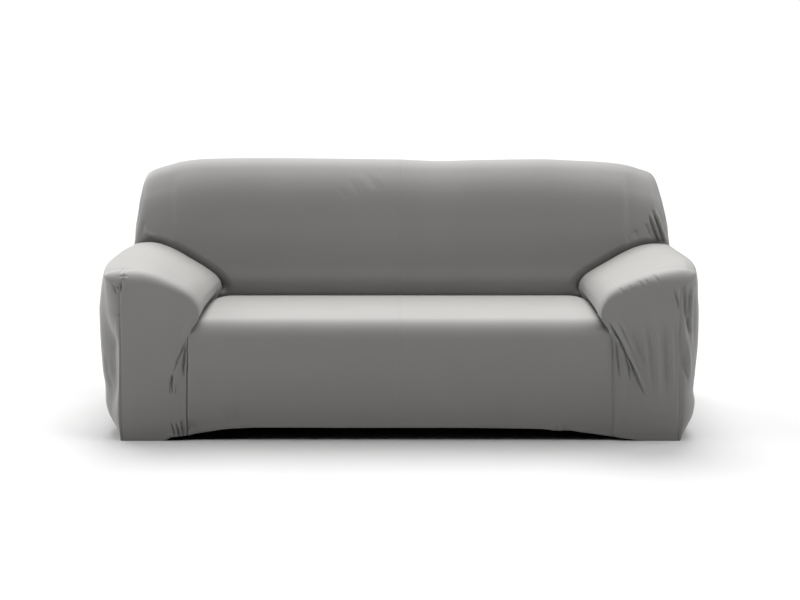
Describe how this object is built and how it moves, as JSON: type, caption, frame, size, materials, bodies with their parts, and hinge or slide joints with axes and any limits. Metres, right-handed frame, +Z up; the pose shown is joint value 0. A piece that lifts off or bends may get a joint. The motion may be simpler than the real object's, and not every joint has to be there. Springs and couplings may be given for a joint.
{
  "type": "sofa slipcover",
  "caption": "Stretch knit slipcover as fitted over a three-seat sofa with soft rolled arms: hollow, open below, sewn from cut panels, with creased arm fronts and a hem that lifts in front.",
  "frame": {"origin": "middle of the cover's floor area, at floor level", "axes": "+X across the sofa to the sitter's left as seen from the front, +Y towards its back, +Z up"},
  "size_m": [2.1125, 0.89, 0.9144],
  "materials": {
    "grey_stretch_knit": "fine matte weft knit of polyester and elastane, slightly satin at a low angle"
  },
  "bodies": {
    "root": {"seat_panel_left": "grey_stretch_knit", "inside_back_panel_left": "grey_stretch_knit", "outside_back_panel_left": "grey_stretch_knit", "arm_panel_left": "grey_stretch_knit", "side_panel_left": "grey_stretch_knit", "seat_panel_right": "grey_stretch_knit", "inside_back_panel_right": "grey_stretch_knit", "outside_back_panel_right": "grey_stretch_knit", "arm_panel_right": "grey_stretch_knit", "side_panel_right": "grey_stretch_knit"}
  },
  "joints": []
}
